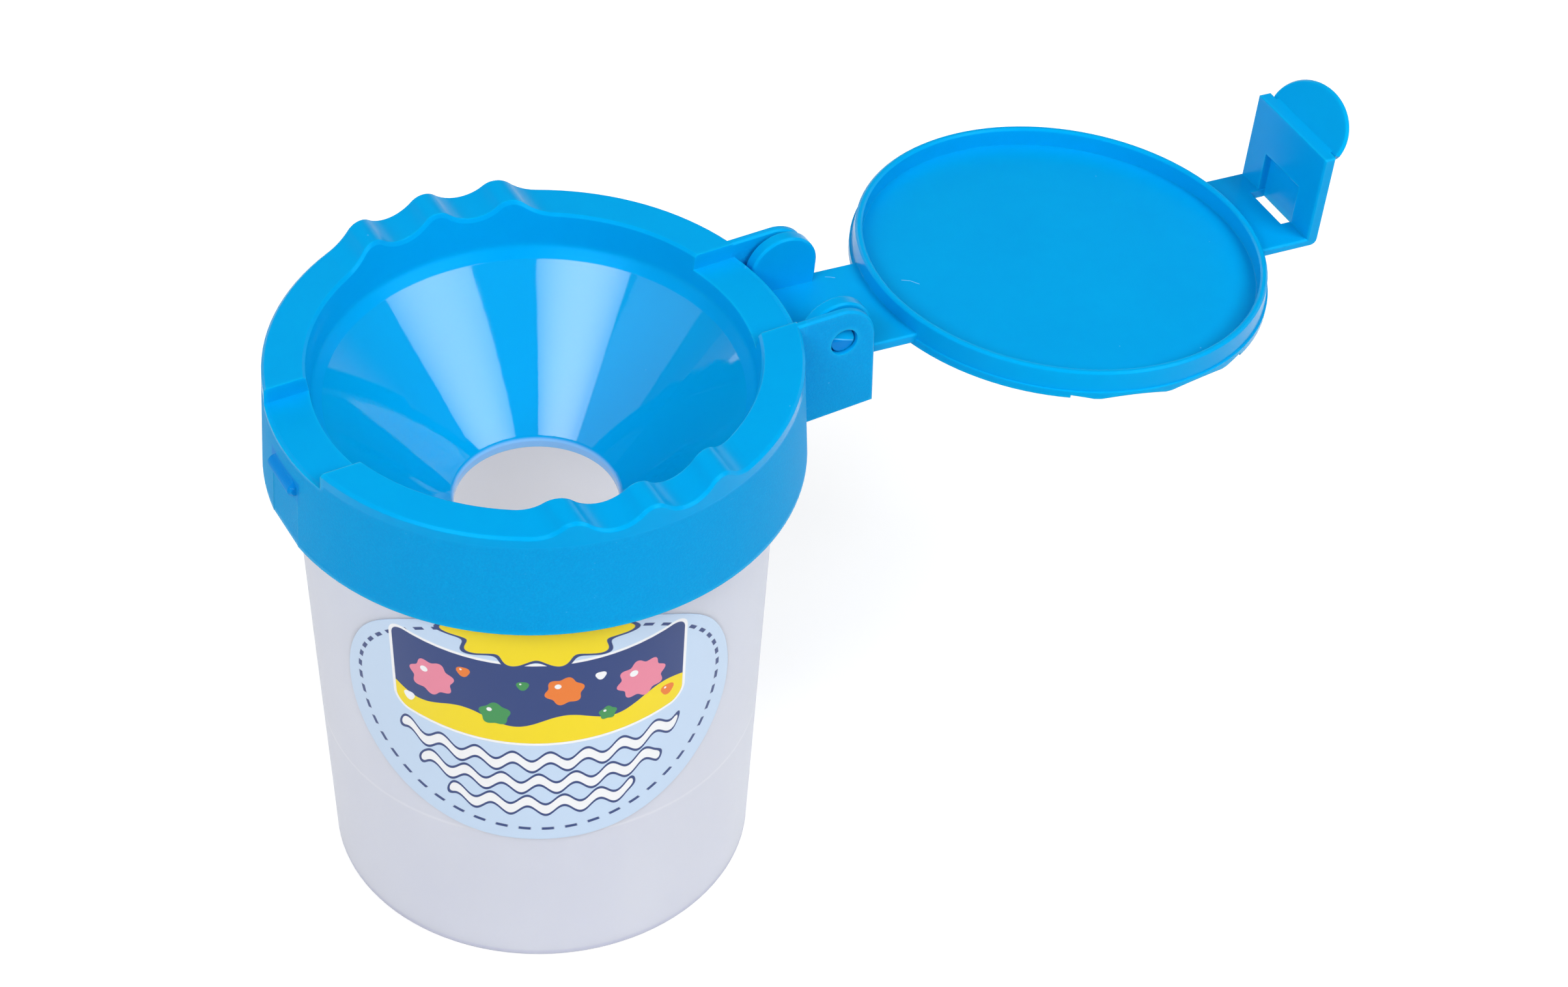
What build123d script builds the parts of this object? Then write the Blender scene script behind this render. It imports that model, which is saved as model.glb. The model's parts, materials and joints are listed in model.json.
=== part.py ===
"""Brush washer with lid: a water cup, a press-on cap with a funnel for a mouth, and a snap lid.

Frame: origin at the centre of the cup's base, +Z up, +X towards the hinge and the opened lid.
The lid is drawn open, resting on its stop. All sizes are in millimetres.
"""

import math
import os

from build123d import *

os.makedirs("parts", exist_ok=True)

# ---------------------------------------------------------------- cap
cap_radius = 39.8  # outside of the rim, at its top
rim_z = 94.8  # top of the rim
skirt_depth = 17.9  # rim top to the skirt's lower edge
skirt_flare = 0.8  # draft: how much wider the skirt's lower edge is
skirt_wall = 1.7
rim_wall = 1.7  # thickness of the rim's flat top
rim_edge_cut = 0.4

rim_width = 6.35  # outside of the rim to the mouth of the well
well_depth = 5.4  # the well is the round recess that the lid closes
well_taper = 0.7
well_wall = 1.6
ledge_depth = 1.7  # short sloped ledge between the well and the funnel
ledge_run = 1.45
funnel_depth = 20.3
funnel_wall = 1.5
hole_radius = 12.5  # water hole at the bottom of the funnel
hole_edge_cut = 0.5
hole_under_cut = 0.4

channel_half_width = 10.25  # lowered gaps in the rim for the hinge arm and the latch tab
channel_depth = 2.7
channel_floor = 2.0
channel_side_wall = 1.6

# ---------------------------------------------------------------- brush rests on the rim
rest_pitch = 11.5  # three ridges, with the hollows for handles between and beside them
rest_height = 2.3  # ridge tops above the rim
rest_hollow_radius = 5.6
rest_hollow_lift = 0.05  # bottom of a hollow above the rim
# the ridge's radius that makes its arc run smoothly into the hollows on both sides
rest_centre_gap = rest_hollow_lift + rest_hollow_radius - rest_height
rest_ridge_radius = (
    (rest_pitch / 2) ** 2 + rest_centre_gap**2 - rest_hollow_radius**2
) / (2 * (rest_hollow_radius - rest_centre_gap))

# ---------------------------------------------------------------- cup
seat_gap = 0.1  # cup lip to the cap above it
bead_gap = 0.2  # lip bead to the inside of the skirt
bead_projection = 1.05
bead_height = 2.4
bead_edge_cut = 0.4
cup_wall = 1.3
cup_taper = 4.0  # base radius is this much less than the radius at the lip
cup_floor = 1.4
foot_recess = 0.7
foot_width = 2.6
base_edge_cut = 0.8

# ---------------------------------------------------------------- snap lugs inside the skirt
lug_count = 6
lug_width = 9.0
lug_half_height = 1.3
lug_gap = 0.1  # lug tip to the lip bead as the cap comes off
lug_drop = 1.6  # lug centre below the bead

# ---------------------------------------------------------------- hinge
pin_reach = 5.9  # pin axis beyond the rim
pin_drop = 5.7  # pin axis below the rim top
pin_radius = 1.95
pin_play = 0.3
pin_length = 1.5
pin_bevel = 0.9
ear_wall = 1.35  # at the rim; the outer face is drafted, so the foot is thicker
ear_draft = 1.1
ear_reach = 5.3  # outer edge of the ear beyond the pin axis
ear_depth = 18.9  # rim top to the ear's foot
ear_foot_fall = 0.4  # the foot slopes down this much towards the skirt
ear_round = 6.0
ear_edge_cut = 0.3
ear_root = 2.2  # how far the ear runs into the skirt, measured from the rim's outside
knuckle_radius = 5.7
knuckle_wall = 2.2
knuckle_edge_cut = 0.3
open_tilt = -5.7  # the opened lid hangs this much below level

# ---------------------------------------------------------------- lid
lid_gap = 0.35  # disc edge to the mouth of the well
disc_edge = 1.2
disc_wall = 1.5
ring_height = 3.0  # ring above the inner face of the disc
ring_step = 0.3  # ring outside, in from the disc edge
ring_taper = 0.3
ring_wall = 1.55
ring_inner_taper = 0.15
ring_edge_cut = 0.3
arm_wall = 1.7
arm_drop = 0.4  # outer face of the hinge arm, in from the lid's outer face
tab_wall = 1.45
tab_drop = 0.8  # outer face of the latch tab, in from the lid's outer face
arm_play = 0.53  # arm side to ear or channel side
arm_overhang = 4.7  # inner end of the arm beyond the pin axis
tab_play = 0.55
strap_edge_cut = 0.25

latch_gap = 0.8  # latch plate to the rim's outside, with the lid shut
latch_wall = 2.1
latch_height = 16.75
bend_round = 1.2
bend_inner_round = 0.5
latch_top_round = 1.25
pocket_half_width = 4.75  # pocket inside the latch plate that takes the catch
pocket_depth = 1.3
pocket_height = 7.0
slot_half_width = 4.55  # slot through the tab, above the catch
slot_length = 3.0
lobe_half_width = 9.15  # thumb lobe at the free end of the latch plate
lobe_length = 6.8
lobe_angle = 35.0
lobe_wall = 1.35
lobe_setback = 0.54  # lobe face beyond the outer face of the plate, at the plate's end
lobe_edge_cut = 0.35
lobe_back_cut = 0.85  # on the side away from the lid
lobe_bury = 0.3  # how far the lobe's root runs into the plate
lobe_neck_in = 1.4  # the root is narrower than the lobe by this on each side
lobe_neck_run = 1.2

notch_half_length = 15.4  # shallow waves in the lid's edge, opposite the brush rests
notch_depth = 0.55
notch_width = 2.0
notch_tooth = 0.6  # half width of the crests left between the waves

# ---------------------------------------------------------------- catch on the skirt
catch_half_width = 4.1
catch_round = 1.2  # half-round section
catch_drop = 7.6  # below the rim top
catch_reach = 1.3  # tip beyond the rim's outside
catch_end_cut = 0.5
catch_blend = 0.8  # hollow round where its upper side runs into the skirt
catch_flat_half_width = 4.4
catch_flat_depth = 0.3  # in the middle, in from the skirt's outside

# ---------------------------------------------------------------- label
label_skin = 0.15
label_azimuth = -115.0
label_low = 28.2
label_high = 76.2
# half widths measured round the wall, and their heights, from the bottom to the top
label_outline = (
    (14.0, 30.3),
    (23.8, 35.8),
    (30.6, 43.6),
    (32.7, 53.0),
    (30.5, 61.3),
    (25.0, 68.1),
    (15.0, 73.7),
)

# ---------------------------------------------------------------- worked out from the above
ridge_z = rim_z + rest_height
skirt_z = rim_z - skirt_depth
skirt_slope = skirt_flare / skirt_depth
under_rim_z = rim_z - rim_wall
well_radius = cap_radius - rim_width
well_floor_radius = well_radius - well_taper
well_floor_z = rim_z - well_depth
well_slope = well_taper / well_depth
ledge_z = well_floor_z - ledge_depth
ledge_radius = well_floor_radius - ledge_run
hole_z = ledge_z - funnel_depth
funnel_slope = (ledge_radius - hole_radius) / funnel_depth
funnel_wall_across = funnel_wall * math.hypot(1, funnel_slope)
funnel_wall_down = funnel_wall_across / funnel_slope

channel_z = rim_z - channel_depth
channel_under_z = channel_z - channel_floor
cup_height = channel_under_z - seat_gap
bead_radius = cap_radius - skirt_wall - bead_gap
cup_top_radius = bead_radius - bead_projection
cup_slope = cup_taper / cup_height
cup_base_radius = cup_top_radius - cup_taper
floor_z = foot_recess + cup_floor
bead_low_z = cup_height - bead_height
lug_z = bead_low_z - lug_drop

catch_z = rim_z - catch_drop
pin_x = cap_radius + pin_reach
pin_z = rim_z - pin_drop
lid_radius = well_radius - lid_gap
face_w = -pin_drop  # the shut lid is flush with the rim
inner_w = face_w + disc_wall
ring_inner_radius = lid_radius - ring_step - ring_wall
arm_low_w = face_w + arm_drop
arm_high_w = arm_low_w + arm_wall
tab_low_w = face_w + tab_drop
tab_high_w = tab_low_w + tab_wall
strap_trim_radius = (ring_inner_radius + lid_radius) / 2
strap_root = ring_inner_radius / 2  # both straps start this far from the disc's centre
arm_half_width = channel_half_width - arm_play
tab_half_width = channel_half_width - tab_play
latch_inner_a = cap_radius + latch_gap
latch_outer_a = latch_inner_a + latch_wall
latch_end_w = tab_low_w + latch_height

# sizes that only have to run clear through or past what they cut
past = 5.0
wide = 2 * cap_radius
# slack for picking edges by where they are
hair = 0.01


def outer_radius(z):
    """Outside of the cap's skirt at height z."""
    return cap_radius + (rim_z - z) * skirt_slope


def well_wall_radius(z):
    """Side of the well at height z."""
    return well_floor_radius + (z - well_floor_z) * well_slope


def cup_radius(z):
    """Outside of the cup's wall at height z."""
    return cup_base_radius + z * cup_slope


# ================================================================ cup
with BuildPart() as cup:
    with BuildSketch(Plane.XZ) as cup_section:
        with BuildLine():
            Polyline(
                (0, foot_recess),
                (cup_base_radius - foot_width - foot_recess, foot_recess),
                (cup_base_radius - foot_width, 0),
                (cup_base_radius - base_edge_cut, 0),
                (cup_radius(base_edge_cut), base_edge_cut),
                (cup_radius(bead_low_z - bead_projection), bead_low_z - bead_projection),
                (bead_radius, bead_low_z),
                (bead_radius, cup_height),
                (cup_top_radius - cup_wall, cup_height),
                (cup_radius(floor_z) - cup_wall, floor_z),
                (0, floor_z),
                close=True,
            )
        make_face()
        chamfer(cup_section.vertices().sort_by_distance((bead_radius, cup_height))[0], bead_edge_cut)
    revolve(axis=Axis.Z)

# ================================================================ label
label_points = []
for half_width, height in label_outline:
    label_points.append((cup_radius(height) * math.sin(half_width / cup_radius(height)), height))
label_plane = Plane(
    origin=(0, 0, 0),
    x_dir=(-math.sin(math.radians(label_azimuth)), math.cos(math.radians(label_azimuth)), 0),
    z_dir=(math.cos(math.radians(label_azimuth)), math.sin(math.radians(label_azimuth)), 0),
)

with BuildPart() as label:
    with BuildSketch(Plane.XZ):
        with BuildLine():
            Polyline(
                (cup_radius(label_low), label_low),
                (cup_radius(label_low) + label_skin, label_low),
                (cup_radius(label_high) + label_skin, label_high),
                (cup_radius(label_high), label_high),
                close=True,
            )
        make_face()
    revolve(axis=Axis.Z)
    with BuildSketch(label_plane):
        with BuildLine():
            Spline(
                (0, label_low),
                *label_points,
                (0, label_high),
                tangents=[(1, 0), (-1, 0)],
            )
            Line((0, label_high), (0, label_low))
        make_face()
        mirror(about=Plane.YZ)
    extrude(amount=cap_radius, mode=Mode.INTERSECT)

# ================================================================ funnel cap
# the hollows beside and between the ridges of the brush rests, as one line across the cap
hollow_centre_z = rim_z + rest_hollow_lift + rest_hollow_radius
ridge_centre_z = ridge_z - rest_ridge_radius
touch = rest_hollow_radius / (rest_hollow_radius + rest_ridge_radius)
inner_touch_x = rest_pitch / 2 * (1 - touch)
inner_touch_z = hollow_centre_z + (ridge_centre_z - hollow_centre_z) * touch
flank_centre_z = rim_z + rest_hollow_radius
flank_reach = math.sqrt(
    (rest_hollow_radius + rest_ridge_radius) ** 2 - (flank_centre_z - ridge_centre_z) ** 2
)
flank_x = rest_pitch + flank_reach
flank_touch_x = flank_x - flank_reach * touch
flank_touch_z = flank_centre_z + (ridge_centre_z - flank_centre_z) * touch
flank_angle = math.atan2(flank_touch_z - flank_centre_z, flank_touch_x - flank_x)
flank_mid_angle = (flank_angle - math.pi / 2) / 2
flank_mid_x = flank_x + rest_hollow_radius * math.cos(flank_mid_angle)
flank_mid_z = flank_centre_z + rest_hollow_radius * math.sin(flank_mid_angle)
ridge_mid_angle = math.asin(inner_touch_x / rest_ridge_radius) / 2
sky_z = ridge_z + past

with BuildPart() as above_rests:
    with BuildSketch(Plane.XZ):
        with BuildLine() as rest_line:
            Line((0, sky_z), (0, ridge_z))
            ThreePointArc(
                (0, ridge_z),
                (
                    rest_ridge_radius * math.sin(ridge_mid_angle),
                    ridge_centre_z + rest_ridge_radius * math.cos(ridge_mid_angle),
                ),
                (inner_touch_x, inner_touch_z),
            )
            ThreePointArc(
                (inner_touch_x, inner_touch_z),
                (rest_pitch / 2, hollow_centre_z - rest_hollow_radius),
                (rest_pitch - inner_touch_x, inner_touch_z),
            )
            ThreePointArc(
                (rest_pitch - inner_touch_x, inner_touch_z),
                (rest_pitch, ridge_z),
                (flank_touch_x, flank_touch_z),
            )
            ThreePointArc(
                (flank_touch_x, flank_touch_z),
                (flank_mid_x, flank_mid_z),
                (flank_x, rim_z),
            )
            Line((flank_x, rim_z), (wide, rim_z))
            Line((wide, rim_z), (wide, sky_z))
            Line((wide, sky_z), (0, sky_z))
        make_face()
    extrude(amount=wide, both=True)
    mirror(about=Plane.YZ)

with BuildPart() as snap_lugs:
    with BuildSketch(Plane.XZ):
        with BuildLine():
            Polyline(
                (bead_radius + lug_gap, lug_z),
                (outer_radius(lug_z) - skirt_wall / 2, lug_z + lug_half_height),
                (outer_radius(lug_z) - skirt_wall / 2, lug_z - lug_half_height),
                close=True,
            )
        make_face()
    revolve(axis=Axis.Z)
    with BuildSketch(Plane.XY):
        with PolarLocations(cap_radius / 2, lug_count):
            Rectangle(cap_radius, lug_width)
    extrude(amount=rim_z, mode=Mode.INTERSECT)

with BuildPart() as ears:
    with BuildSketch(Plane.XZ.offset(channel_half_width)) as ear_profile:
        with BuildLine():
            Polyline(
                (cap_radius - ear_root, rim_z - ear_depth - ear_foot_fall),
                (pin_x + ear_reach, rim_z - ear_depth),
                (pin_x + ear_reach, rim_z),
                (cap_radius - ear_root, rim_z),
                close=True,
            )
        make_face()
        fillet(ear_profile.vertices().sort_by_distance((pin_x + ear_reach, rim_z))[0], ear_round)
    extrude(amount=ear_wall)
    draft(ears.faces().sort_by(Axis.Y)[0], Plane.XY.offset(rim_z), ear_draft)
    # the edges of both faces, outside the rim
    chamfer(
        ears.edges().filter_by(
            lambda e: e.bounding_box().max.X > cap_radius and e.bounding_box().size.Y < ear_wall / 2
        ),
        ear_edge_cut,
    )
    with BuildSketch(Plane.XZ):
        with Locations((pin_x, pin_z)):
            Circle(pin_radius + pin_play)
    extrude(amount=cap_radius, mode=Mode.SUBTRACT)
    mirror(about=Plane.XZ)

with BuildPart() as catch:
    with BuildSketch(Plane.XZ):
        with Locations((-cap_radius - catch_reach + catch_round, catch_z)):
            Circle(catch_round)
    extrude(amount=catch_half_width, both=True)
    chamfer(catch.edges().filter_by(GeomType.CIRCLE), catch_end_cut)

with BuildPart() as funnel_cap:
    # rim, well, funnel and skirt, as high as the ridges all round
    with BuildSketch(Plane.XZ) as cap_section:
        under_const = ledge_radius + funnel_wall_across - ledge_z * funnel_slope
        back_const = well_floor_radius + well_wall - well_floor_z * well_slope
        knee_z = (back_const - under_const) / (funnel_slope - well_slope)
        with BuildLine():
            Polyline(
                (outer_radius(skirt_z), skirt_z),
                (outer_radius(ridge_z), ridge_z),
                (well_wall_radius(ridge_z), ridge_z),
                (well_floor_radius, well_floor_z),
                (ledge_radius, ledge_z),
                (hole_radius + hole_edge_cut * funnel_slope, hole_z + hole_edge_cut),
                (hole_radius + hole_edge_cut / 4, hole_z),
                (hole_radius, hole_z - hole_edge_cut / 2),
                (hole_radius, hole_z - funnel_wall_down + 2 * hole_under_cut),
                (hole_radius + hole_under_cut, hole_z - funnel_wall_down + hole_under_cut / funnel_slope),
                (back_const + knee_z * well_slope, knee_z),
                (well_wall_radius(under_rim_z) + well_wall, under_rim_z),
                (outer_radius(under_rim_z) - skirt_wall, under_rim_z),
                (outer_radius(under_rim_z) - skirt_wall, skirt_z),
                close=True,
            )
        make_face()
    revolve(axis=Axis.Z)
    # the rim's top and the brush rests
    add(above_rests.part, mode=Mode.SUBTRACT)
    chamfer(
        funnel_cap.edges().filter_by(
            lambda e: e.bounding_box().min.Z > rim_z - hair and e.geom_type != GeomType.LINE
        ),
        rim_edge_cut,
    )
    # floors and side walls below the two channels
    with BuildSketch(Plane.XY.offset(channel_under_z)):
        Circle(cap_radius - skirt_wall / 2)
        Rectangle(wide, 2 * (channel_half_width + channel_side_wall), mode=Mode.INTERSECT)
        Circle(well_wall_radius(channel_z) + well_wall / 2, mode=Mode.SUBTRACT)
    extrude(amount=rim_z - rim_wall / 2 - channel_under_z)
    # channels
    with BuildSketch(Plane.XY.offset(channel_z)):
        Rectangle(2 * wide, 2 * channel_half_width)
    extrude(amount=past, mode=Mode.SUBTRACT)
    add(ears.part)
    # flat below the catch, drafted as the skirt is
    with BuildSketch(Plane.XZ):
        with BuildLine():
            Polyline(
                (-outer_radius(skirt_z) + catch_flat_depth, skirt_z),
                (-outer_radius(catch_z) + catch_flat_depth, catch_z),
                (-outer_radius(catch_z) - past, catch_z),
                (-outer_radius(skirt_z) - past, skirt_z),
                close=True,
            )
        make_face()
    extrude(amount=catch_flat_half_width, both=True, mode=Mode.SUBTRACT)
    add(catch.part)
    fillet(
        funnel_cap.edges()
        .sort_by_distance((-outer_radius(catch_z + catch_round), 0, catch_z + catch_round))[0],
        catch_blend,
    )
    add(snap_lugs.part)

# ================================================================ lid, drawn open
tilt = math.radians(open_tilt)
lid_along = Vector(math.cos(tilt), 0, math.sin(tilt))
lid_up = Vector(-math.sin(tilt), 0, math.cos(tilt))
# sketch planes through the pin axis: u runs along the opened lid, w away from its outer face
lid_flat = Plane(origin=(pin_x, 0, pin_z), x_dir=lid_along, z_dir=lid_up)
lid_section = Plane(origin=(pin_x, 0, pin_z), x_dir=lid_along, z_dir=(0, -1, 0))
lid_cross = Plane(origin=(pin_x, 0, pin_z), x_dir=(0, 1, 0), z_dir=lid_along)
lid_centre_u = pin_x
lid_mid_x = lid_flat.from_local_coords((lid_centre_u, 0, 0)).X
lid_axis = Axis(origin=lid_flat.from_local_coords((lid_centre_u, 0, 0)), direction=lid_up)

# the thumb lobe leans out from the end of the latch plate
lobe_lean = math.radians(lobe_angle)
lobe_u = lid_centre_u + latch_outer_a + lobe_setback
lobe_root = (lobe_setback + lobe_wall * math.cos(lobe_lean) + lobe_bury) / math.sin(lobe_lean)
lobe_neck_half_width = lobe_half_width - lobe_neck_in
lobe_face = Plane(
    origin=lid_flat.from_local_coords((lobe_u, 0, latch_end_w)),
    x_dir=(0, 1, 0),
    z_dir=lid_along * math.cos(lobe_lean) - lid_up * math.sin(lobe_lean),
)
knuckle_low_w = arm_low_w + strap_edge_cut

with BuildPart() as edge_notches:
    with BuildSketch(lid_section):
        for middle in (-1.5, -0.5, 0.5, 1.5):
            wave_u = lid_centre_u + middle * rest_pitch
            wave_reach = rest_pitch / 2 - notch_tooth
            with BuildLine():
                ThreePointArc(
                    (wave_u - wave_reach, face_w),
                    (wave_u, face_w + notch_depth),
                    (wave_u + wave_reach, face_w),
                )
                Line((wave_u + wave_reach, face_w), (wave_u - wave_reach, face_w))
            make_face()
        with Locations((lid_centre_u, face_w)):
            Rectangle(2 * notch_half_length, 2 * past, mode=Mode.INTERSECT)
    extrude(amount=cap_radius, both=True)
    with BuildSketch(lid_flat.offset(face_w - past)):
        with Locations((lid_centre_u, 0)):
            Circle(lid_radius - notch_width)
    extrude(amount=2 * past, mode=Mode.SUBTRACT)

# knuckle plates and stub pins
with BuildPart() as knuckles:
    with BuildSketch(lid_section.offset(arm_half_width - knuckle_wall)):
        with BuildLine():
            Line((-arm_overhang, knuckle_low_w), (-knuckle_radius, 0))
            ThreePointArc((-knuckle_radius, 0), (0, knuckle_radius), (knuckle_radius, 0))
            Line((knuckle_radius, 0), (knuckle_radius, knuckle_low_w))
            Line((knuckle_radius, knuckle_low_w), (-arm_overhang, knuckle_low_w))
        make_face()
    extrude(amount=knuckle_wall)
    chamfer(
        knuckles.edges().filter_by(
            lambda e: lid_flat.to_local_coords(e.center()).Z > knuckle_low_w + knuckle_edge_cut
            and e.bounding_box().size.Y < knuckle_wall / 2
        ),
        knuckle_edge_cut,
    )
    with BuildSketch(lid_section.offset(arm_half_width - knuckle_wall / 2)):
        Circle(pin_radius)
    extrude(amount=knuckle_wall / 2 + pin_length)
    with BuildSketch(lid_cross):
        with BuildLine():
            Polyline(
                (-arm_half_width - pin_length, 0),
                (-arm_half_width - pin_length, pin_radius),
                (-arm_half_width - pin_length + pin_bevel, pin_radius),
                close=True,
            )
        make_face()
    extrude(amount=pin_radius, both=True, mode=Mode.SUBTRACT)
    mirror(about=Plane.XZ)

# thumb lobe, with a root that runs into the latch plate
with BuildPart() as thumb_lobe:
    with BuildSketch(lobe_face):
        with BuildLine():
            EllipticalCenterArc((0, 0), lobe_half_width, lobe_length, start_angle=0, arc_size=180)
            Polyline(
                (-lobe_half_width, 0),
                (-lobe_neck_half_width, -lobe_neck_run),
                (-lobe_neck_half_width, -lobe_root),
                (lobe_neck_half_width, -lobe_root),
                (lobe_neck_half_width, -lobe_neck_run),
                (lobe_half_width, 0),
            )
        make_face()
    extrude(amount=lobe_wall)
    for depth, edge_cut in ((0, lobe_edge_cut), (lobe_wall, lobe_back_cut)):
        chamfer(
            thumb_lobe.edges()
            .filter_by(GeomType.LINE, reverse=True)
            .filter_by(lambda e: abs(lobe_face.to_local_coords(e.center()).Z - depth) < hair),
            edge_cut,
        )
    with BuildSketch(lid_section):
        with BuildLine():
            Polyline(
                (lobe_u - lobe_setback - lobe_bury, latch_end_w),
                (lobe_u + lobe_bury, latch_end_w),
                (lobe_u - lobe_setback - lobe_bury, latch_end_w - lobe_root / 2),
                close=True,
            )
        make_face()
    extrude(amount=lobe_neck_half_width, both=True)

with BuildPart() as lid:
    # hinge arm
    with BuildSketch(lid_flat.offset(arm_low_w)):
        with Locations(((lid_centre_u - strap_root - arm_overhang) / 2, 0)):
            Rectangle(lid_centre_u - strap_root + arm_overhang, 2 * arm_half_width)
    extrude(amount=arm_wall)
    chamfer(lid.edges().filter_by(lambda e: e.center().X < lid_mid_x), strap_edge_cut)
    # latch tab and plate
    with BuildSketch(lid_section) as latch_profile:
        with BuildLine():
            Polyline(
                (lid_centre_u + strap_root, tab_low_w),
                (lid_centre_u + latch_outer_a, tab_low_w),
                (lid_centre_u + latch_outer_a, latch_end_w),
                (lid_centre_u + latch_inner_a, latch_end_w),
                (lid_centre_u + latch_inner_a, tab_high_w),
                (lid_centre_u + strap_root, tab_high_w),
                close=True,
            )
        make_face()
        latch_corners = latch_profile.vertices()
        fillet(
            latch_corners.sort_by_distance((lid_centre_u + latch_outer_a, tab_low_w))[0],
            bend_round,
        )
        fillet(
            latch_corners.sort_by_distance((lid_centre_u + latch_inner_a, tab_high_w))[0],
            bend_inner_round,
        )
        fillet(
            latch_corners.sort_by_distance((lid_centre_u + latch_inner_a, latch_end_w))[0],
            latch_top_round,
        )
    extrude(amount=tab_half_width, both=True)
    chamfer(
        lid.edges().filter_by(
            lambda e: e.center().X > lid_mid_x
            and abs(abs(e.center().Y) - tab_half_width) < strap_edge_cut / 2
        ),
        strap_edge_cut,
    )
    # pocket for the catch, and the slot above it
    with BuildSketch(lid_section):
        with BuildLine():
            Polyline(
                (lid_centre_u + latch_inner_a - bend_inner_round, tab_high_w),
                (lid_centre_u + latch_inner_a + pocket_depth, tab_high_w),
                (lid_centre_u + latch_inner_a + pocket_depth, tab_high_w + pocket_height),
                (lid_centre_u + latch_inner_a - bend_inner_round, tab_high_w + pocket_height),
                close=True,
            )
        make_face()
    extrude(amount=pocket_half_width, both=True, mode=Mode.SUBTRACT)
    with BuildSketch(lid_section):
        with BuildLine():
            Polyline(
                (lid_centre_u + latch_inner_a + pocket_depth - slot_length, face_w),
                (lid_centre_u + latch_inner_a + pocket_depth, face_w),
                (lid_centre_u + latch_inner_a + pocket_depth, inner_w + ring_height),
                (lid_centre_u + latch_inner_a + pocket_depth - slot_length, inner_w + ring_height),
                close=True,
            )
        make_face()
    extrude(amount=slot_half_width, both=True, mode=Mode.SUBTRACT)
    add(thumb_lobe.part)
    # room for the disc and its ring
    with BuildSketch(lid_flat.offset(face_w)):
        with Locations((lid_centre_u, 0)):
            Circle(strap_trim_radius)
    extrude(amount=pin_drop, mode=Mode.SUBTRACT)
    # disc and ring
    with BuildSketch(lid_section) as disc_profile:
        with BuildLine():
            Polyline(
                (lid_centre_u, face_w),
                (lid_centre_u + lid_radius, face_w),
                (lid_centre_u + lid_radius, face_w + disc_edge),
                (lid_centre_u + lid_radius - ring_step, face_w + disc_edge),
                (lid_centre_u + lid_radius - ring_step - ring_taper, inner_w + ring_height),
                (lid_centre_u + ring_inner_radius + ring_inner_taper, inner_w + ring_height),
                (lid_centre_u + ring_inner_radius, inner_w),
                (lid_centre_u, inner_w),
                close=True,
            )
        make_face()
        disc_corners = disc_profile.vertices()
        chamfer(
            [
                disc_corners.sort_by_distance(
                    (lid_centre_u + lid_radius - ring_step - ring_taper, inner_w + ring_height)
                )[0],
                disc_corners.sort_by_distance(
                    (lid_centre_u + ring_inner_radius + ring_inner_taper, inner_w + ring_height)
                )[0],
            ],
            ring_edge_cut,
        )
    revolve(axis=lid_axis)
    add(edge_notches.part, mode=Mode.SUBTRACT)
    add(knuckles.part)

lid.part.label = "lid"
cup.part.label = "cup"
label.part.label = "label"
funnel_cap.part.label = "funnel_cap"
export_step(cup.part, "parts/cup.step")
export_step(label.part, "parts/label.step")
export_step(funnel_cap.part, "parts/funnel_cap.step")
export_step(lid.part, "parts/lid.step")
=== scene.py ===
import json
import math

import bpy
from mathutils import Matrix, Vector

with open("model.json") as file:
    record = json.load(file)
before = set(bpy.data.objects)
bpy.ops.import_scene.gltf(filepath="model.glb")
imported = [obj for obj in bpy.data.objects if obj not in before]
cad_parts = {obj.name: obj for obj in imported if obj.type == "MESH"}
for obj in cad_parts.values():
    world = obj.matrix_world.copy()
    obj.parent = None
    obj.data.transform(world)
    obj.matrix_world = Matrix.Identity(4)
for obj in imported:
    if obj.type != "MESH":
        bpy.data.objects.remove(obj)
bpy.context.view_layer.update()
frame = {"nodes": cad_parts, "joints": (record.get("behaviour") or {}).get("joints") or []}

bpy.context.scene.view_settings.view_transform = "Standard"
nodes = frame["nodes"]
MM = 1000.0  # millimetres in a metre


# ---------------------------------------------------------------- small helpers
def srgb(r, g, b):
    """Linear colour of an 8-bit screen colour."""
    out = []
    for v in (r, g, b):
        v = v / 255
        out.append(v / 12.92 if v <= 0.04045 else ((v + 0.055) / 1.055) ** 2.4)
    return (*out, 1.0)


def math_node(tree, operation, *values, clamp=False):
    """Output of a math node on these numbers and sockets."""
    node = tree.nodes.new("ShaderNodeMath")
    node.operation = operation
    node.use_clamp = clamp
    for place, value in zip(node.inputs, values):
        if isinstance(value, bpy.types.NodeSocket):
            tree.links.new(value, place)
        else:
            place.default_value = value
    return node.outputs[0]


def smooth_step(tree, socket, from_min, from_max, to_min, to_max):
    """Output of a soft, clamped step from to_min to to_max."""
    node = tree.nodes.new("ShaderNodeMapRange")
    node.interpolation_type = "SMOOTHSTEP"
    node.clamp = True
    tree.links.new(socket, node.inputs["Value"])
    limits = {"From Min": from_min, "From Max": from_max, "To Min": to_min, "To Max": to_max}
    for name, value in limits.items():
        node.inputs[name].default_value = value
    return node.outputs[0]


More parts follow.
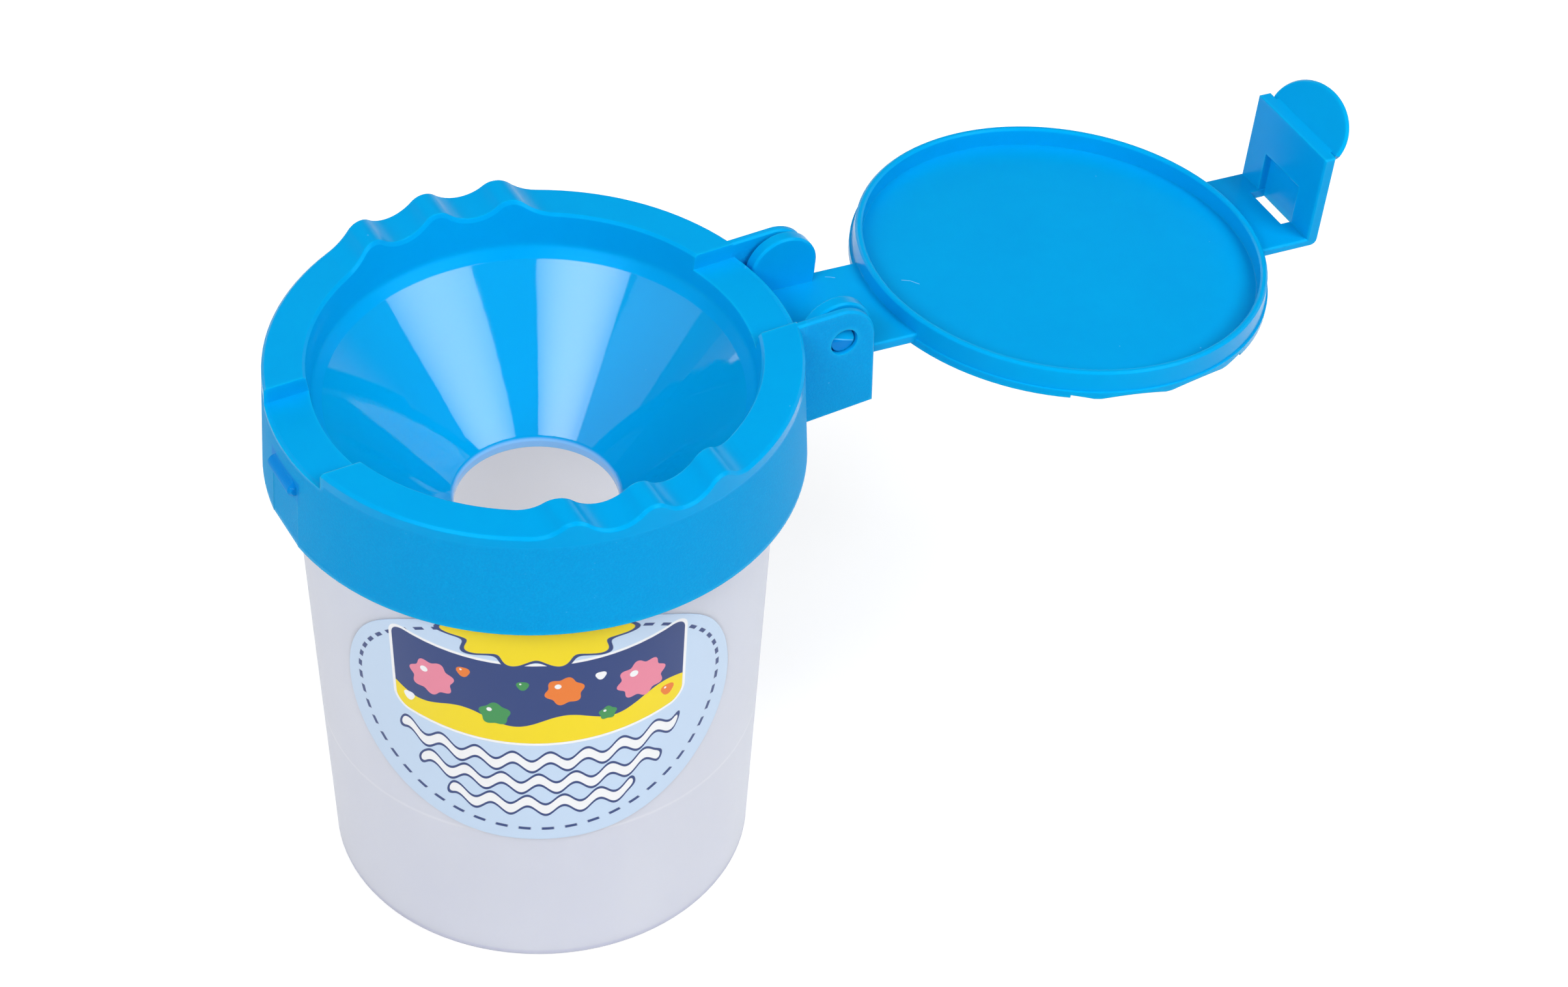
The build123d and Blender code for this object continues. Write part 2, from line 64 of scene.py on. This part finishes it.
class Val:
    """A number socket of a material, with plain arithmetic on it."""

    def __init__(self, tree, socket):
        self.tree, self.socket = tree, socket

    def math(self, operation, *others):
        values = [v.socket if isinstance(v, Val) else v for v in (self, *others)]
        return Val(self.tree, math_node(self.tree, operation, *values))

    def __add__(self, other):
        return self.math("ADD", other)

    def __sub__(self, other):
        return self.math("SUBTRACT", other)

    def __mul__(self, other):
        return self.math("MULTIPLY", other)

    def __truediv__(self, other):
        return self.math("DIVIDE", other)

    def sin(self):
        return self.math("SINE")

    def abs(self):
        return self.math("ABSOLUTE")

    def sqrt(self):
        return self.math("SQRT")

    def low(self, other):
        return self.math("MINIMUM", other)

    def high(self, other):
        return self.math("MAXIMUM", other)

    def rescale(self, from_min, from_max, to_min, to_max):
        return Val(self.tree, smooth_step(self.tree, self.socket, from_min, from_max, to_min, to_max))

    def below(self, edge, soft):
        """1 where the value is under edge, 0 above it, over a soft step."""
        return self.rescale(edge - soft / 2, edge + soft / 2, 1.0, 0.0)

    def above(self, edge, soft):
        return self.rescale(edge - soft / 2, edge + soft / 2, 0.0, 1.0)

    def inverse(self):
        return self * -1.0 + 1.0


def length(*parts):
    """Length of the vector with these parts."""
    total = parts[0] * parts[0]
    for part in parts[1:]:
        total = total + part * part
    return total.sqrt()


class Maker:
    """A new material with a Principled shader and its helpers; lengths are in millimetres."""

    def __init__(self, name):
        self.material = bpy.data.materials.new(name)
        self.material.use_nodes = True
        self.tree = self.material.node_tree
        self.shader = self.tree.nodes["Principled BSDF"]
        place = self.tree.nodes.new("ShaderNodeTexCoord")
        split = self.tree.nodes.new("ShaderNodeSeparateXYZ")
        self.place = place.outputs["Object"]
        self.tree.links.new(self.place, split.inputs[0])
        self.x, self.y, self.z = (Val(self.tree, out) * MM for out in split.outputs)

    def scaled(self, size, stretch=(1, 1, 1)):
        """The place on the object in units of this size."""
        node = self.tree.nodes.new("ShaderNodeMapping")
        self.tree.links.new(self.place, node.inputs["Vector"])
        node.inputs["Scale"].default_value = [MM / size / s for s in stretch]
        return node.outputs[0]

    def noise(self, size, detail=2.0, rough=0.5, stretch=(1, 1, 1)):
        """Noise of 0 to 1 with features of about this size."""
        node = self.tree.nodes.new("ShaderNodeTexNoise")
        self.tree.links.new(self.scaled(size, stretch), node.inputs["Vector"])
        node.inputs["Scale"].default_value = 1.0
        node.inputs["Detail"].default_value = detail
        node.inputs["Roughness"].default_value = rough
        return Val(self.tree, node.outputs["Fac"])

    def cells(self, size):
        """Distance to the nearest of scattered points, in cells of this size."""
        node = self.tree.nodes.new("ShaderNodeTexVoronoi")
        self.tree.links.new(self.scaled(size), node.inputs["Vector"])
        node.inputs["Scale"].default_value = 1.0
        return Val(self.tree, node.outputs["Distance"])

    def edge(self, reach):
        """1 on the convex edges, falling to 0 this far in from them."""
        node = self.tree.nodes.new("ShaderNodeAmbientOcclusion")
        node.inside = True
        node.samples = 8
        node.inputs["Distance"].default_value = reach / MM
        return Val(self.tree, node.outputs["AO"]).rescale(0.45, 0.98, 1.0, 0.0)

    def mix(self, factor, a, b):
        """Colour a where factor is 0, b where it is 1."""
        node = self.tree.nodes.new("ShaderNodeMix")
        node.data_type = "RGBA"
        self.tree.links.new(factor.socket, node.inputs["Factor"])
        for place, value in ((node.inputs[6], a), (node.inputs[7], b)):
            if isinstance(value, tuple):
                place.default_value = value
            else:
                self.tree.links.new(value, place)
        return node.outputs[2]

    def set(self, name, value):
        if isinstance(value, Val):
            value = value.socket
        if isinstance(value, bpy.types.NodeSocket):
            self.tree.links.new(value, self.shader.inputs[name])
        else:
            self.shader.inputs[name].default_value = value

    def bump(self, height, edge_radius=None):
        """Surface relief of this height, over edges rounded in the shading."""
        node = self.tree.nodes.new("ShaderNodeBump")
        node.inputs["Strength"].default_value = 1.0
        node.inputs["Distance"].default_value = 1 / MM
        self.tree.links.new(height.socket, node.inputs["Height"])
        if edge_radius is not None:
            bevel = self.tree.nodes.new("ShaderNodeBevel")
            bevel.samples = 6
            if isinstance(edge_radius, Val):
                self.tree.links.new((edge_radius / MM).socket, bevel.inputs["Radius"])
            else:
                bevel.inputs["Radius"].default_value = edge_radius / MM
            self.tree.links.new(bevel.outputs[0], node.inputs["Normal"])
        self.tree.links.new(node.outputs[0], self.shader.inputs["Normal"])

    def give(self, node_name):
        mesh = nodes[node_name].data
        mesh.materials.clear()
        mesh.materials.append(self.material)


# ---------------------------------------------------------------- sizes, in mm
RIM_Z = 94.8
SKIRT_RADIUS = 39.3  # just inside its outer face
PLAIN_BAND = 1.9  # ungrained, from the rim down
WELL_RADIUS, WELL_LOW, WELL_HIGH = 33.0, 86.5, 91.0  # round its lower corner
LEDGE_RADIUS, LEDGE_Z = 31.3, 87.7
HOLE_RADIUS, HOLE_Z = 12.9, 67.6  # just outside and above its edge
EAR_RADIUS, EAR_X, EAR_Y = 41.0, 36.0, 10.6  # inner limits of the ears' outer faces
CATCH_X, CATCH_Z, CATCH_RADIUS, CATCH_HALF_WIDTH = -39.9, 87.2, 2.0, 5.0
CUP_FOOT_RADIUS, CUP_SLOPE, CUP_FLOOR = 32.85, 0.0444, 0.7
CUP_SKIN = 0.7  # depth from the outer face at which the inside begins
CUP_RING_Z, FOOT_HEIGHT = 28.8, 1.6
hinge = next(j for j in frame["joints"] if j["type"] == "hinge")
PIN_X, PIN_Z, PIN_RADIUS, PIN_END_Y = MM * hinge["pos_m"][0], MM * hinge["pos_m"][2], 1.9, 11.0
EDGE_RADIUS = 0.22  # of the blue mouldings' edges

# ---------------------------------------------------------------- blue plastic of the cap and the lid
PLASTIC_IOR = 1.49
BLUE_DEEP, BLUE_PALE, BLUE_EDGE_LIGHT = srgb(0, 155, 223), srgb(0, 168, 231), srgb(8, 180, 238)
BLUE_GLOSS, PLAIN_GLOSS = srgb(60, 190, 255), srgb(255, 255, 255)
BLUE_SPECK, BLUE_SCUFF, BLUE_SCRATCH = srgb(110, 196, 245), srgb(96, 186, 240), srgb(150, 214, 250)
BLUE_CATCH_SHADE, BLUE_FUNNEL = srgb(0, 138, 224), srgb(0, 161, 221)
PIN_SHADE, PIN_LINE = srgb(0, 118, 205), srgb(110, 200, 250)
HOLE_EDGE_LIGHT, HOLE_GLOW = srgb(160, 200, 236), srgb(214, 222, 240)
BLACK = (0, 0, 0, 1)


def blue_plastic(m, grain=None, funnel=None, edge_radius=EDGE_RADIUS):
    """Moulded blue plastic: grained where grain is 1, polished where funnel is 1, satin elsewhere."""
    edge = m.edge(0.9)
    fine = m.noise(0.34, 3.0, 0.75)
    tone = (m.noise(17.0) - 0.5) * 0.5 + (m.noise(3.2, 3.0, 0.6) - 0.5) * 0.3 + 0.5
    rough = m.noise(1.2) * 0.04 + 0.22
    relief = (m.noise(2.4) - 0.5) * 0.006
    if grain is None:
        relief = relief + (fine - 0.5) * 0.002
        m.set("Specular Tint", BLUE_GLOSS)
    else:
        grain = grain * (edge * -1.4 + 1.0).high(0.0)
        tone = tone + (fine - 0.5) * grain * 2.4 - grain * 0.30
        rough = rough + grain * 0.36 - funnel * 0.21
        relief = relief + (fine - 0.5) * (grain * 0.07 + 0.002) + (m.noise(9.0, 1.0) - 0.5) * funnel * 0.03
        m.set("Specular Tint", m.mix((grain * 0.2).high(funnel), BLUE_GLOSS, PLAIN_GLOSS))
        m.set("Coat Weight", funnel * 0.4)
        m.set("Coat Roughness", 0.02)
    base = m.mix(tone.low(1.0).high(0.0), BLUE_DEEP, BLUE_PALE)
    # painted light: the convex edges are made paler, for light that comes through the thin plastic there
    base = m.mix(edge * 0.5, base, BLUE_EDGE_LIGHT)
    # small pale specks and nicks
    speck = m.cells(5.3).below(0.02, 0.02) * m.noise(9.0).above(0.52, 0.1)
    base = m.mix(speck * 0.7, base, BLUE_SPECK)
    m.set("Roughness", rough)
    m.set("Specular IOR Level", 0.2)
    m.set("IOR", PLASTIC_IOR)
    m.set("Subsurface Weight", 0.2)
    m.set("Subsurface Radius", (0.1, 0.8, 1.0))
    m.set("Subsurface Scale", 0.0015)
    m.bump(relief, edge_radius)
    return base


m = Maker("cap_blue")
radius = length(m.x, m.y)
# inside the funnel below the ledge, where the mould was polished
funnel = radius.below(LEDGE_RADIUS + 0.05, 0.2) * m.z.below(LEDGE_Z + 0.05, 0.2)
# the grained outside of the skirt, and the ears
outside = radius.above(SKIRT_RADIUS, 0.5) * m.z.below(RIM_Z - PLAIN_BAND, 0.8)
ears = radius.above(EAR_RADIUS, 0.6) * m.x.above(EAR_X, 1.0) * m.y.abs().above(EAR_Y, 0.2)
# the corner between the well's wall and the ledge is rounded by 1 mm more
corner = radius.above(WELL_RADIUS - 1.0, 0.3) * radius.below(WELL_RADIUS + 1.0, 0.3)
corner = corner * m.z.below(WELL_HIGH, 0.5) * m.z.above(WELL_LOW, 0.5)
base = blue_plastic(m, outside.high(ears), funnel, corner + EDGE_RADIUS)
# painted shade: the catch is coloured a deeper blue, darkest where its upper side runs into the skirt, in
# the crease there
over = m.z - CATCH_Z
catch_shade = length(m.x - CATCH_X, over).below(CATCH_RADIUS, 0.5)
catch_shade = catch_shade * m.y.abs().below(CATCH_HALF_WIDTH, 0.5) * m.x.below(0.0, 1.0)
base = m.mix(catch_shade * over.rescale(-1.4, 1.0, 0.35, 0.9), base, BLUE_CATCH_SHADE)
# painted light: the thin edge round the water hole is made paler and given a faint glow, for light that
# comes through it
hole_edge_light = radius.below(HOLE_RADIUS, 0.3) * m.z.below(HOLE_Z, 0.5)
base = m.mix(hole_edge_light * 0.6, base, HOLE_EDGE_LIGHT)
m.set("Emission Color", m.mix(hole_edge_light, BLACK, HOLE_GLOW))
m.set("Emission Strength", 0.05)
base = m.mix(funnel * hole_edge_light.inverse() * 0.75, base, BLUE_FUNNEL)
# pale scuffs on the skirt
scuff = m.noise(1.1, 4.0, 0.8, (1, 1, 0.5)).above(0.68, 0.06) * m.noise(7.0, 1.0).above(0.60, 0.06)
base = m.mix(scuff * outside * 0.5, base, BLUE_SCUFF)
m.set("Base Color", base)
m.give("funnel_cap")

m = Maker("lid_blue")
base = blue_plastic(m)


def scratch(points, width):
    """1 on a fine scratch that runs through these points."""
    found = None
    for a, b in zip(points, points[1:]):
        a, b = Vector(a), Vector(b)
        run = b - a
        px, py, pz = m.x - a.x, m.y - a.y, m.z - a.z
        along = ((px * run.x + py * run.y + pz * run.z) / run.length_squared).high(0.0).low(1.0)
        near = length(px - along * run.x, py - along * run.y, pz - along * run.z).below(width, width)
        found = near if found is None else found.high(near)
    return found


# one scratch on the disc and one on the arm
marks = scratch(((64.5, 3.8, 83.0), (65.7, 3.2, 82.9), (66.6, 2.0, 82.8)), 0.065)
marks = marks.high(scratch(((53.2, 7.9, 84.7), (53.9, 7.6, 84.65), (54.5, 7.2, 84.6)), 0.06))
base = m.mix(marks * 0.6, base, BLUE_SCRATCH)
# the stub pins' ends: a fine parting line, and painted shade that makes the lower half a deeper blue
across, over = m.x - PIN_X, m.z - PIN_Z
pin_end = length(across, over).below(PIN_RADIUS, 0.2) * m.y.abs().above(PIN_END_Y, 0.1)
halves = over + across * 0.38
base = m.mix(pin_end * halves.below(0.0, 0.15) * 0.75, base, PIN_SHADE)
base = m.mix(pin_end * (halves - 0.12).abs().below(0.09, 0.08) * 0.6, base, PIN_LINE)
m.set("Base Color", base)
m.give("lid")

# ---------------------------------------------------------------- milky plastic of the cup
MILK_DEEP, MILK_PALE = srgb(210, 213, 228), srgb(219, 222, 234)
MILK_RING, MILK_FOOT_SHADE, INSIDE_GLOW = srgb(240, 241, 250), srgb(200, 203, 230), srgb(248, 240, 222)

m = Maker("cup_milky")
cloud = m.noise(20.0, 3.0, 0.55, (1, 1, 2.5))
base = m.mix((cloud - 0.5) * 1.1 + 0.5, MILK_DEEP, MILK_PALE)
ring = (m.z - CUP_RING_Z).abs().below(0.25, 0.5)
base = m.mix(ring * 0.3, base, MILK_RING)
# painted shade: the foot, the lowest 1.6 mm, is darker and more violet
base = m.mix(m.z.below(FOOT_HEIGHT, 0.6) * 0.6, base, MILK_FOOT_SHADE)
m.set("Base Color", base)
m.set("Roughness", m.noise(1.5) * 0.08 + 0.36)
m.set("IOR", PLASTIC_IOR)
m.set("Specular IOR Level", 0.35)
m.set("Subsurface Weight", 1.0)
m.set("Subsurface Radius", (1.0, 1.0, 1.0))
m.set("Subsurface Scale", 0.003)
# painted light: a faint glow on the inside stands in for daylight that comes through the milky wall
wall = length(m.x, m.y) - m.z * CUP_SLOPE - CUP_FOOT_RADIUS
inside = (wall + CUP_SKIN).below(0.0, 0.2) * m.z.above(CUP_FLOOR, 0.1)
m.set("Emission Color", m.mix(inside, BLACK, INSIDE_GLOW))
m.set("Emission Strength", 0.235)
m.bump((m.noise(0.5) - 0.5) * 0.006 + (m.noise(9.0) - 0.5) * 0.05 + ring * 0.03, 0.4)
m.give("cup")

# ---------------------------------------------------------------- printed label, a generic design
NAVY, YELLOW, PINK = srgb(38, 62, 122), srgb(250, 224, 18), srgb(238, 140, 164)
GREEN, ORANGE = srgb(62, 148, 82), srgb(240, 128, 48)
PAPER, WHITE = srgb(203, 224, 248), srgb(250, 251, 253)
LABEL_TURN, LABEL_RADIUS = math.radians(-115), 35.0
# the outline is half an oval above this height and half another below it
LABEL_MIDDLE, LABEL_HALF_WIDTH, LABEL_UP, LABEL_DOWN = 54.0, 32.7, 22.2, 25.9
BOW = 0.006  # rise of the rows towards the label's sides
CRISP = 0.12  # softness of a printed edge

m = Maker("label_print")
out_x = m.x * math.cos(LABEL_TURN) + m.y * math.sin(LABEL_TURN)
out_y = m.y * math.cos(LABEL_TURN) - m.x * math.sin(LABEL_TURN)
# s runs to the right round the cup and t up it
s, t = out_y.math("ARCTAN2", out_x) * LABEL_RADIUS, m.z
bowed = t - s * s * BOW
lift = t - LABEL_MIDDLE
rise = lift.high(0.0) / LABEL_UP + lift.low(0.0) / LABEL_DOWN
oval = length(s / LABEL_HALF_WIDTH, rise)
bearing = rise.math("ARCTAN2", s / LABEL_HALF_WIDTH)


def blot(cs, ct, size, lobes, phase=0.0, wide=1.0):
    """How far outside a round blot with this many lobes a place is."""
    ds, dt = (s - cs) / wide, t - ct
    bumps = (dt.math("ARCTAN2", ds) * lobes + phase).sin() * size * 0.10
    return length(ds, dt) - bumps - size


def bar(ct, half_width, half_height, rounding):
    """How far outside a bowed bar with rounded corners a place is."""
    ds = (s.abs() - (half_width - rounding)).high(0.0)
    dt = ((bowed - ct).abs() - (half_height - rounding)).high(0.0)
    return length(ds, dt) - rounding


# dashed line that follows the edge
dashes = (bearing * 52.0).sin().above(-0.1, 0.5) * (oval - 0.905).abs().below(0.011, 0.006)
base = m.mix(dashes, PAPER, NAVY)
# a navy banner, yellow below a wave
banner = bar(57.9, 22.3, 8.3, 2.2)
base = m.mix(banner.below(0.5, 0.15), base, WHITE)
base = m.mix(banner.below(0.0, CRISP), base, NAVY)
wave = bowed - (s * 0.42).sin() * 1.1 - 54.2
base = m.mix(banner.below(0.0, CRISP) * wave.below(0.0, CRISP), base, YELLOW)
# drops of paint on it: place, size, lobes and colour, each with a white glint
DROPS = (
    (-16.0, 60.6, 3.3, 7, PINK),
    (-6.6, 55.6, 2.2, 5, GREEN),
    (3.6, 60.6, 2.7, 6, ORANGE),
    (15.2, 60.0, 3.6, 8, PINK),
    (10.0, 54.6, 1.3, 5, GREEN),
    (-11.0, 63.6, 1.0, 3, ORANGE),
    (-2.4, 62.0, 0.9, 3, GREEN),
    (8.9, 62.9, 0.8, 3, WHITE),
    (-20.0, 54.9, 0.9, 3, WHITE),
    (19.6, 55.4, 1.1, 3, ORANGE),
)
for cs, ct, size, lobes, colour in DROPS:
    base = m.mix(blot(cs, ct, size, lobes).below(0.0, CRISP), base, colour)
    glint = length(s - (cs - size * 0.35), t - (ct + size * 0.4))
    base = m.mix(glint.below(size * 0.18, CRISP), base, WHITE)
# yellow blot at the top
patch = blot(0.0, 74.6, 8.0, 13, 0.4, 1.7)
base = m.mix(patch.below(0.55, 0.15), base, NAVY)
base = m.mix(patch.below(0.0, 0.15), base, YELLOW)
# white waves of water with navy outlines: height, reach and phase
for ct, reach, phase in ((45.4, 21.0, 0.0), (40.6, 18.0, 2.0), (35.8, 13.5, 4.0)):
    past = (s.abs() - reach).high(0.0)
    level = (bowed - (s * 1.15 + phase).sin() * 0.95 - ct) * 0.8
    away = length(past, level) - 0.75
    base = m.mix(away.below(0.42, CRISP), base, NAVY)
    base = m.mix(away.below(0.0, CRISP), base, WHITE)
m.set("Base Color", base)
m.set("Roughness", m.noise(2.0) * 0.06 + 0.30)
m.set("Specular IOR Level", 0.35)
m.bump((m.noise(0.6) - 0.5) * 0.004 + (m.noise(8.0) - 0.5) * 0.03)
m.give("label")

# ---------------------------------------------------------------- camera, solved from the photograph
CAMERA_PLACE = (-0.20080, -0.43398, 0.49743)
ELEVATION, ROLL, TURN = math.radians(41.93), math.radians(1.925), math.radians(29.305)
FOCAL_PIXELS, PHOTO_WIDTH, SENSOR = 6534.1, 2408, 36
back = Vector((0, -math.cos(ELEVATION), math.sin(ELEVATION)))
right = Vector((1, 0, 0))
up = Vector((0, math.sin(ELEVATION), math.cos(ELEVATION)))
turn = Matrix.Rotation(-TURN, 3, "Z")
cam_x = turn @ (math.cos(ROLL) * right + math.sin(ROLL) * up)
cam_y = turn @ (-math.sin(ROLL) * right + math.cos(ROLL) * up)
facing = Matrix((cam_x, cam_y, turn @ back)).transposed()
camera = bpy.data.objects.new("camera", bpy.data.cameras.new("camera"))
camera.matrix_world = Matrix.Translation(CAMERA_PLACE) @ facing.to_4x4()
camera.data.sensor_width = SENSOR
camera.data.lens = FOCAL_PIXELS / PHOTO_WIDTH * SENSOR
camera.data.clip_end = 20
bpy.context.scene.collection.objects.link(camera)
bpy.context.scene.camera = camera


# ---------------------------------------------------------------- floor and backdrop
def shown_white(tree):
    """1 for what the camera sees directly, in gloss or through glass."""
    path = tree.nodes.new("ShaderNodeLightPath").outputs
    seen = math_node(tree, "ADD", path["Is Camera Ray"], path["Is Glossy Ray"])
    return math_node(tree, "ADD", seen, path["Is Transmission Ray"], clamp=True)


FLOOR_SIZE, FLOOR_SHADE, FLOOR_GLOW = 12, 0.55, 0.65
bpy.ops.mesh.primitive_plane_add(size=FLOOR_SIZE, location=(0, 0, 0))
floor = bpy.context.object
floor.name = "floor"
paint = bpy.data.materials.new("floor_paint")
paint.use_nodes = True
tree = paint.node_tree
tree.nodes.clear()
out = tree.nodes.new("ShaderNodeOutputMaterial")
both = tree.nodes.new("ShaderNodeAddShader")
matte = tree.nodes.new("ShaderNodeBsdfDiffuse")
matte.inputs["Color"].default_value = (FLOOR_SHADE, FLOOR_SHADE, FLOOR_SHADE, 1)
glow = tree.nodes.new("ShaderNodeEmission")
tree.links.new(math_node(tree, "MULTIPLY", shown_white(tree), FLOOR_GLOW), glow.inputs["Strength"])
tree.links.new(matte.outputs[0], both.inputs[0])
tree.links.new(glow.outputs[0], both.inputs[1])
tree.links.new(both.outputs[0], out.inputs["Surface"])
floor.data.materials.append(paint)

# white backdrop all round, with a dim ceiling above it
CEILING_FROM, CEILING_TO, CEILING_SHADE = math.radians(9), math.radians(22), 0.15
BACKDROP_LIGHT = 0.5  # share of its whiteness that it sheds as light
world = bpy.data.worlds.new("studio")
bpy.context.scene.world = world
world.use_nodes = True
tree = world.node_tree
tree.nodes.clear()
out = tree.nodes.new("ShaderNodeOutputWorld")
sky = tree.nodes.new("ShaderNodeBackground")
coord = tree.nodes.new("ShaderNodeTexCoord")
split = tree.nodes.new("ShaderNodeSeparateXYZ")
tree.links.new(coord.outputs["Generated"], split.inputs[0])
ceiling = smooth_step(
    tree, split.outputs["Z"], math.sin(CEILING_FROM), math.sin(CEILING_TO), 1.0, CEILING_SHADE
)
light = math_node(tree, "MULTIPLY_ADD", shown_white(tree), 1.0 - BACKDROP_LIGHT, BACKDROP_LIGHT)
tree.links.new(math_node(tree, "MULTIPLY", ceiling, light), sky.inputs["Strength"])
tree.links.new(sky.outputs[0], out.inputs["Surface"])

# ---------------------------------------------------------------- lamps
TARGET = Vector((0.0, 0.0, 0.085))


def softbox(name, azimuth, elevation, distance, width, height, power, hot=0.0):
    """A square-edged soft lamp that faces the cap, brighter along its middle by the share hot."""
    lamp = bpy.data.objects.new(name, bpy.data.lights.new(name, "AREA"))
    lamp.data.shape = "RECTANGLE"
    lamp.data.size = width
    lamp.data.size_y = height
    lamp.data.energy = power
    if hot:
        lamp.data.use_nodes = True
        tree = lamp.data.node_tree
        place = tree.nodes.new("ShaderNodeNewGeometry")
        split = tree.nodes.new("ShaderNodeSeparateXYZ")
        tree.links.new(place.outputs["Parametric"], split.inputs[0])
        # 1 - hot * off^2, with off running from -1 to 1 across the lamp
        off = math_node(tree, "MULTIPLY_ADD", split.outputs[0], 2.0, -1.0)
        square = math_node(tree, "MULTIPLY", off, off)
        shine = math_node(tree, "MULTIPLY_ADD", square, -hot, 1.0)
        tree.links.new(shine, tree.nodes["Emission"].inputs["Strength"])
    a, e = math.radians(azimuth), math.radians(elevation)
    away = Vector((math.cos(a) * math.cos(e), math.sin(a) * math.cos(e), math.sin(e)))
    lamp.location = TARGET + away * distance
    lamp.rotation_mode = "QUATERNION"
    lamp.rotation_quaternion = away.to_track_quat("Z", "Y")
    bpy.context.scene.collection.objects.link(lamp)


# name, azimuth, elevation, distance, width, height and power; right, left and high show in the funnel
softbox("lamp_right", -57.5, 38, 1.3, 1.08, 0.42, 11.0, hot=0.6)
softbox("lamp_left", -146.0, 42, 1.3, 0.90, 0.45, 11.9, hot=0.6)
softbox("lamp_side", 176, 22, 1.7, 1.6, 1.1, 4.2)
softbox("lamp_top", 60, 84, 1.6, 1.6, 1.6, 3.4)
softbox("lamp_back", 95, 16, 1.8, 1.8, 0.6, 6.0)
softbox("lamp_high", -37, 56, 1.3, 0.42, 0.34, 3.6)
